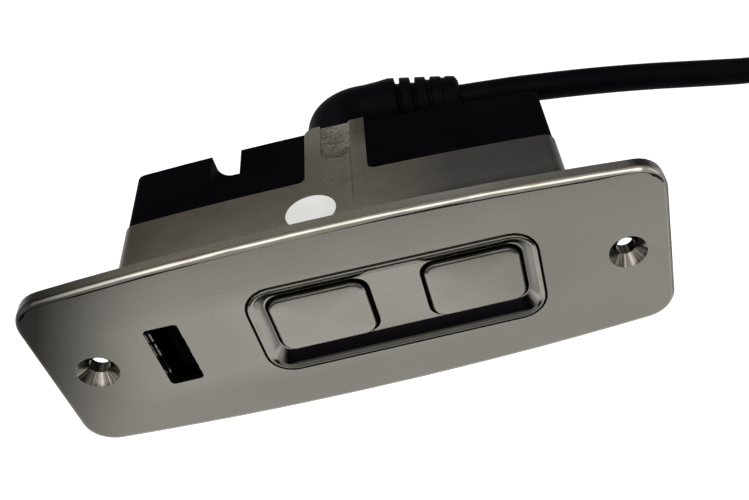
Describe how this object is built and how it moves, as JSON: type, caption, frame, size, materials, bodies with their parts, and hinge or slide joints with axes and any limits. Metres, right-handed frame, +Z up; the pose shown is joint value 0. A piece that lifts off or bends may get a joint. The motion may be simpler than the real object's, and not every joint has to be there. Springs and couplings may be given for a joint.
{
  "type": "recliner control switch",
  "caption": "Flush-mounted recliner control switch with bowed metal faceplate, recessed push buttons, vertical USB charging socket and a side-exit lead ending in a round plug.",
  "frame": {"origin": "midway between the two screw holes, on the seating plane at the back of the faceplate", "axes": "+X along the faceplate towards the screw hole beside the buttons, +Y back through the plate into the furniture, +Z up"},
  "size_m": [0.1797, 0.0701, 0.1196],
  "materials": {
    "satin_nickel": "satin brushed nickel over a casting",
    "black_moulding": "plain black moulding",
    "spring_wire": "drawn wire",
    "board_laminate": "solder resist on laminate",
    "switch_plastic": "moulded",
    "plunger_plastic": "moulded",
    "socket_steel": "plated sheet",
    "contact_gold": "plated",
    "screw_steel": "zinc plated",
    "header_plastic": "moulded",
    "wire_insulation": "extruded insulation, one colour a wire",
    "capacitor_can": "sleeved can",
    "sticker_paper": "matt white film",
    "soft_black": "soft moulded sheath"
  },
  "bodies": {
    "housing": {"bezel": "satin_nickel", "back_cover": "black_moulding", "left_return_spring": "spring_wire", "right_return_spring": "spring_wire", "circuit_board": "board_laminate", "left_switch_body": "switch_plastic", "right_switch_body": "switch_plastic", "usb_shell": "socket_steel", "usb_tongue": "black_moulding", "usb_contacts": "contact_gold", "board_screws": "screw_steel", "cover_screws": "screw_steel", "wire_header": "header_plastic", "lead_wires": "wire_insulation", "power_inductor": "switch_plastic", "smoothing_capacitor": "capacitor_can", "inspection_sticker": "sticker_paper", "strain_relief": "soft_black", "cord": "soft_black", "cord_coil": "soft_black", "cord_tie": "black_moulding", "cord_tail": "soft_black", "plug_body": "soft_black", "plug_collar": "socket_steel", "plug_insert": "black_moulding", "plug_pins": "contact_gold"},
    "left_key": {"left_button": "satin_nickel", "left_switch_plunger": "plunger_plastic"},
    "right_key": {"right_button": "satin_nickel", "right_switch_plunger": "plunger_plastic"}
  },
  "joints": [
    {"name": "left_button_press", "type": "slide", "parent": "housing", "child": "left_key", "axis": [0, 1, 0], "range_m": [0, 0.0009], "stiffness_N_per_m": 250, "springref_m": -0.004, "deforming": ["left_return_spring"]},
    {"name": "right_button_press", "type": "slide", "parent": "housing", "child": "right_key", "axis": [0, 1, 0], "range_m": [0, 0.0009], "stiffness_N_per_m": 250, "springref_m": -0.004, "deforming": ["right_return_spring"]}
  ]
}
